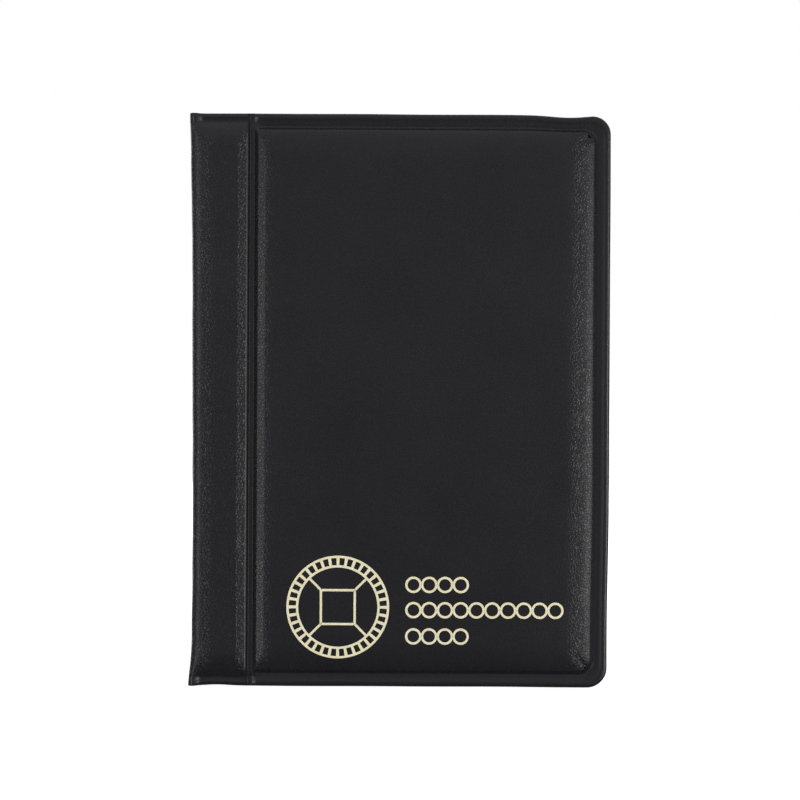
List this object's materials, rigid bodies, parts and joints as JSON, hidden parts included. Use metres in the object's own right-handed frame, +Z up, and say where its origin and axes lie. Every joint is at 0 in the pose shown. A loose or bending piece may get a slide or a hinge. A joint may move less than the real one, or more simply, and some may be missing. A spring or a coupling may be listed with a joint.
{
  "type": "coin album",
  "caption": "Slim upright pocket album for coins: padded leatherette covers hinged on pressed grooves, and clear pocket pages bound in the spine.",
  "frame": {"origin": "middle of the closed album's base, where it stands on its tail edge", "axes": "+Z up along the album's height; -Y out of the front cover; -X towards the spine and +X towards the fore-edge"},
  "size_m": [0.128, 0.0166, 0.175],
  "materials": {
    "black_leatherette": "satin",
    "black_lining": "satin",
    "greyboard": "matte",
    "white_foam": "matte",
    "clear_film": "gloss",
    "nickelled_steel": "satin",
    "gold_foil": "satin"
  },
  "bodies": {
    "binding": {"spine_skin": "black_leatherette", "spine_liner": "black_lining", "spine_board": "greyboard", "front_strip_board": "greyboard", "back_strip_board": "greyboard", "front_hinge_web": "black_leatherette", "back_hinge_web": "black_leatherette", "rivet_bottom": "nickelled_steel", "rivet_middle": "nickelled_steel", "rivet_top": "nickelled_steel", "page_01_stub": "clear_film", "page_02_stub": "clear_film", "page_03_stub": "clear_film", "page_04_stub": "clear_film", "page_05_stub": "clear_film", "page_06_stub": "clear_film", "page_07_stub": "clear_film", "page_08_stub": "clear_film", "page_09_stub": "clear_film", "page_10_stub": "clear_film"},
    "front_cover": {"front_cover_skin": "black_leatherette", "front_cover_foam": "white_foam", "front_cover_board": "greyboard", "front_cover_liner": "black_lining", "foil_emblem": "gold_foil", "foil_row_1": "gold_foil", "foil_row_2": "gold_foil", "foil_row_3": "gold_foil"},
    "back_cover": {"back_cover_skin": "black_leatherette", "back_cover_foam": "white_foam", "back_cover_board": "greyboard", "back_cover_liner": "black_lining"},
    "page_01": {"page_01_film": "clear_film", "page_01_pockets": "clear_film"},
    "page_02": {"page_02_film": "clear_film", "page_02_pockets": "clear_film"},
    "page_03": {"page_03_film": "clear_film", "page_03_pockets": "clear_film"},
    "page_04": {"page_04_film": "clear_film", "page_04_pockets": "clear_film"},
    "page_05": {"page_05_film": "clear_film", "page_05_pockets": "clear_film"},
    "page_06": {"page_06_film": "clear_film", "page_06_pockets": "clear_film"},
    "page_07": {"page_07_film": "clear_film", "page_07_pockets": "clear_film"},
    "page_08": {"page_08_film": "clear_film", "page_08_pockets": "clear_film"},
    "page_09": {"page_09_film": "clear_film", "page_09_pockets": "clear_film"},
    "page_10": {"page_10_film": "clear_film", "page_10_pockets": "clear_film"}
  },
  "joints": [
    {"name": "front_cover_hinge", "type": "hinge", "parent": "binding", "child": "front_cover", "pos_m": [-0.04495, -0.0085, 0.0875], "axis": [0, 0, -1], "range_deg": [0, 180]},
    {"name": "back_cover_hinge", "type": "hinge", "parent": "binding", "child": "back_cover", "pos_m": [-0.04495, 0.0085, 0.0875], "axis": [0, 0, 1], "range_deg": [0, 180]},
    {"name": "page_01_turn", "type": "hinge", "parent": "binding", "child": "page_01", "pos_m": [-0.04, -0.00425, 0.0875], "axis": [0, 0, -1], "range_deg": [0, 110.5]},
    {"name": "page_02_turn", "type": "hinge", "parent": "binding", "child": "page_02", "pos_m": [-0.0392, -0.00325, 0.0875], "axis": [0, 0, -1], "range_deg": [0, 99.5]},
    {"name": "page_03_turn", "type": "hinge", "parent": "binding", "child": "page_03", "pos_m": [-0.0384, -0.00225, 0.0875], "axis": [0, 0, -1], "range_deg": [0, 88.5]},
    {"name": "page_04_turn", "type": "hinge", "parent": "binding", "child": "page_04", "pos_m": [-0.0376, -0.00125, 0.0875], "axis": [0, 0, -1], "range_deg": [0, 77.5]},
    {"name": "page_05_turn", "type": "hinge", "parent": "binding", "child": "page_05", "pos_m": [-0.0376, -0.00025, 0.0875], "axis": [0, 0, -1], "range_deg": [0, 66.5]},
    {"name": "page_06_turn", "type": "hinge", "parent": "binding", "child": "page_06", "pos_m": [-0.0376, 0.00075, 0.0875], "axis": [0, 0, -1], "range_deg": [0, 55.5]},
    {"name": "page_07_turn", "type": "hinge", "parent": "binding", "child": "page_07", "pos_m": [-0.0376, 0.00175, 0.0875], "axis": [0, 0, -1], "range_deg": [0, 44.5]},
    {"name": "page_08_turn", "type": "hinge", "parent": "binding", "child": "page_08", "pos_m": [-0.0376, 0.00275, 0.0875], "axis": [0, 0, -1], "range_deg": [0, 33.5]},
    {"name": "page_09_turn", "type": "hinge", "parent": "binding", "child": "page_09", "pos_m": [-0.0376, 0.00375, 0.0875], "axis": [0, 0, -1], "range_deg": [0, 22.5]},
    {"name": "page_10_turn", "type": "hinge", "parent": "binding", "child": "page_10", "pos_m": [-0.0376, 0.00475, 0.0875], "axis": [0, 0, -1], "range_deg": [0, 11.5]}
  ],
  "couplings": [
    {"joint": "page_01_turn", "follows": "front_cover_hinge", "ratio": 0.61111},
    {"joint": "page_02_turn", "follows": "front_cover_hinge", "ratio": 0.55},
    {"joint": "page_03_turn", "follows": "front_cover_hinge", "ratio": 0.48889},
    {"joint": "page_04_turn", "follows": "front_cover_hinge", "ratio": 0.42778},
    {"joint": "page_05_turn", "follows": "front_cover_hinge", "ratio": 0.36667},
    {"joint": "page_06_turn", "follows": "front_cover_hinge", "ratio": 0.30556},
    {"joint": "page_07_turn", "follows": "front_cover_hinge", "ratio": 0.24444},
    {"joint": "page_08_turn", "follows": "front_cover_hinge", "ratio": 0.18333},
    {"joint": "page_09_turn", "follows": "front_cover_hinge", "ratio": 0.12222},
    {"joint": "page_10_turn", "follows": "front_cover_hinge", "ratio": 0.061111}
  ]
}
